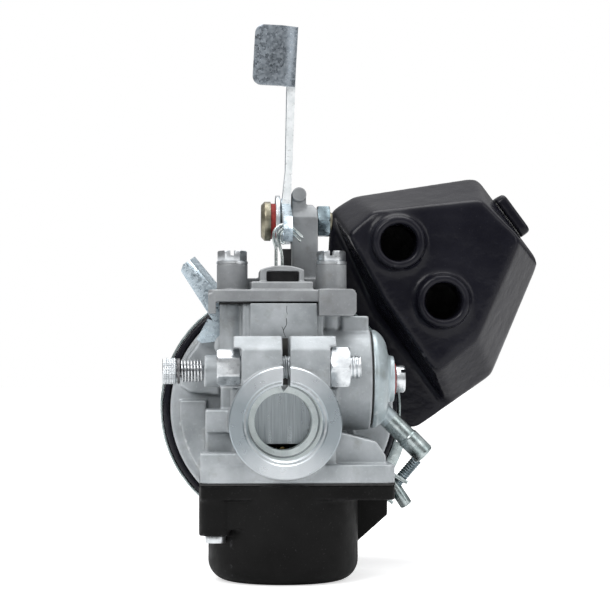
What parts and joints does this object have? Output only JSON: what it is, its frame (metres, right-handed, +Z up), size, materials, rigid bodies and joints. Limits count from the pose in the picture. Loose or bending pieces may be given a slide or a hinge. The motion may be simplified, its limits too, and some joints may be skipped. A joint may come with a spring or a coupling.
{
  "type": "carburetor",
  "caption": "Small clamp-on moped carburetor with a flat throttle slide, thumb lever, float bowl, angled fuel inlet and a boxed air filter.",
  "frame": {"origin": "on the axis of the 19 mm manifold socket, at the front end of its round wall, just behind the mouth chamfer", "axes": "-Y points out of the socket towards the engine, +Y to the air filter, +X to the fuel inlet, +Z up along the throttle slide's travel"},
  "size_m": [0.1049, 0.0891, 0.1465],
  "materials": {
    "cast_zinc": "as-cast satin grey alloy, machined bright on the socket face",
    "machined_slide": "machined, fine vertical tool marks",
    "zinc_steel": "bright zinc plate",
    "spring_steel": "bright drawn wire",
    "wire_steel": "greenish zinc plated wire",
    "galvanised": "galvanised sheet with a soft spangle",
    "olive_steel": "olive bronze passivated steel",
    "dark_steel": "dark steel",
    "cap_zinc": "greenish zinc plated casting",
    "red_fibre": "red vulcanised fibre",
    "gasket_paper": "dark pressed gasket",
    "black_rubber": "matte black",
    "screen_nylon": "natural nylon",
    "bowl_plastic": "matte black moulding",
    "float_plastic": "natural white",
    "brass": "machined brass",
    "box_plastic": "satin black moulding",
    "foam": "oiled open-cell foam"
  },
  "bodies": {
    "root": {"carburetor_body": "cast_zinc", "mixing_chamber_cover": "cast_zinc", "cover_gasket": "gasket_paper", "bowl_gasket": "gasket_paper", "fuel_cap_gasket": "gasket_paper", "clamp_bolt": "zinc_steel", "clamp_nut": "zinc_steel", "cover_screws": "zinc_steel", "cover_screw_washers": "zinc_steel", "throttle_spring": "spring_steel", "idle_spring": "spring_steel", "lever_pivot_bolt": "olive_steel", "pivot_fibre_washer": "red_fibre", "pivot_plate_washer": "zinc_steel", "pivot_nut": "zinc_steel", "link_dust_seal": "black_rubber", "fuel_inlet_cap": "cap_zinc", "fuel_cap_washer": "red_fibre", "fuel_cap_screw": "zinc_steel", "fuel_filter_screen": "screen_nylon", "float_bowl": "bowl_plastic", "bowl_screws": "zinc_steel", "float_pin": "zinc_steel", "needle_seat": "brass", "spray_tube": "brass", "main_jet": "brass", "filter_box_front": "box_plastic", "filter_box_back": "box_plastic", "filter_element": "foam", "filter_box_latch": "box_plastic", "collar_band": "zinc_steel", "band_screw": "zinc_steel", "band_nut": "zinc_steel"},
    "throttle_lever": {"throttle_lever": "galvanised"},
    "throttle_slide": {"throttle_slide": "machined_slide", "throttle_link": "wire_steel"},
    "idle_carrier": {"idle_screw_washer": "dark_steel"},
    "idle_screw": {"idle_screw": "zinc_steel"},
    "choke": {"choke_lever": "galvanised", "choke_spindle": "zinc_steel", "choke_shutter": "zinc_steel"},
    "float": {"float": "float_plastic"},
    "needle": {"needle_valve": "brass"}
  },
  "joints": [
    {"name": "throttle_lever_pivot", "type": "hinge", "parent": "root", "child": "throttle_lever", "pos_m": [0.00155, 0.0395, 0.0532], "axis": [-1, 0, 0], "range_deg": [0, 46], "stiffness_Nm_per_rad": 0.09, "springref_deg": -68.75},
    {"name": "throttle_slide_lift", "type": "slide", "parent": "root", "child": "throttle_slide", "axis": [0, 0, 1], "range_m": [0, 0.01295], "deforming": ["throttle_spring"]},
    {"name": "idle_screw_feed", "type": "slide", "parent": "root", "child": "idle_carrier", "axis": [1, 0, 0], "range_m": [-0.0008, 0.0008], "deforming": ["idle_spring"]},
    {"name": "idle_screw_turn", "type": "hinge", "parent": "idle_carrier", "child": "idle_screw", "pos_m": [-0.02, 0.025, 0.0129], "axis": [1, 0, 0], "range_deg": [-360, 360]},
    {"name": "choke_pivot", "type": "hinge", "parent": "root", "child": "choke", "pos_m": [-0.013, 0.0373, 0.0215], "axis": [0, -1, 0], "range_deg": [0, 38]},
    {"name": "float_pivot", "type": "hinge", "parent": "root", "child": "float", "pos_m": [0.0002, 0.0335, -0.019], "axis": [-1, 0, 0], "range_deg": [0, 11]},
    {"name": "needle_valve_lift", "type": "slide", "parent": "root", "child": "needle", "axis": [0, 0, 1], "range_m": [0, 0.00065]}
  ],
  "couplings": [
    {"joint": "throttle_slide_lift", "follows": "throttle_lever_pivot", "m_per_rad": 0.0161},
    {"joint": "idle_screw_turn", "follows": "idle_screw_feed", "rad_per_m": 7854},
    {"joint": "needle_valve_lift", "follows": "float_pivot", "m_per_rad": 0.0033}
  ]
}
